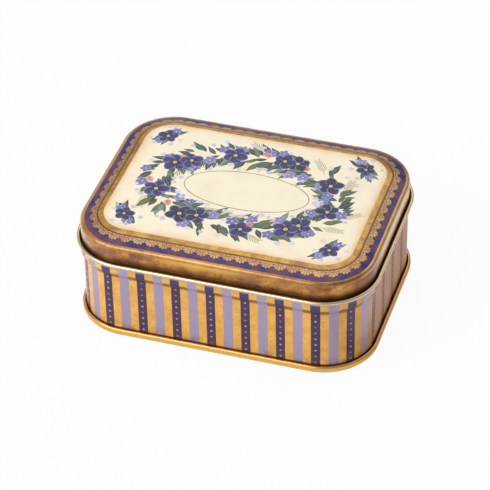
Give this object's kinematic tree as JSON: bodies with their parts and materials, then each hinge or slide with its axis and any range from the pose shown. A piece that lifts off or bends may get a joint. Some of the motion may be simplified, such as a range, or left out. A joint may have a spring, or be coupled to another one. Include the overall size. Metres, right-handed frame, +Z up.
{
  "type": "hinged tin box",
  "caption": "Small rounded rectangular tinplate box with a seamed base and a raised lid hinged on hooks round the back rim.",
  "frame": {"origin": "on the surface that the tin stands on, under the middle of the box", "axes": "+X along the long sides, +Y towards the hinge at the back, +Z up out of the lid"},
  "size_m": [0.0996, 0.0759, 0.0372],
  "materials": {
    "striped_print": "gold lacquered tinplate printed with navy and lavender stripes, satin, bare bright tin inside and on the rim",
    "gold_lacquer": "gold lacquered tinplate, semi-gloss",
    "lid_print": "tinplate printed with a cream panel and an old gold border, satin"
  },
  "bodies": {
    "box": {"body_wall": "striped_print", "bottom_panel": "gold_lacquer"},
    "lid": {"lid": "lid_print"}
  },
  "joints": [
    {"name": "lid_hinge", "type": "hinge", "parent": "box", "child": "lid", "pos_m": [0, 0.03717, 0.02823], "axis": [-1, 0, 0], "range_deg": [0, 105]}
  ]
}
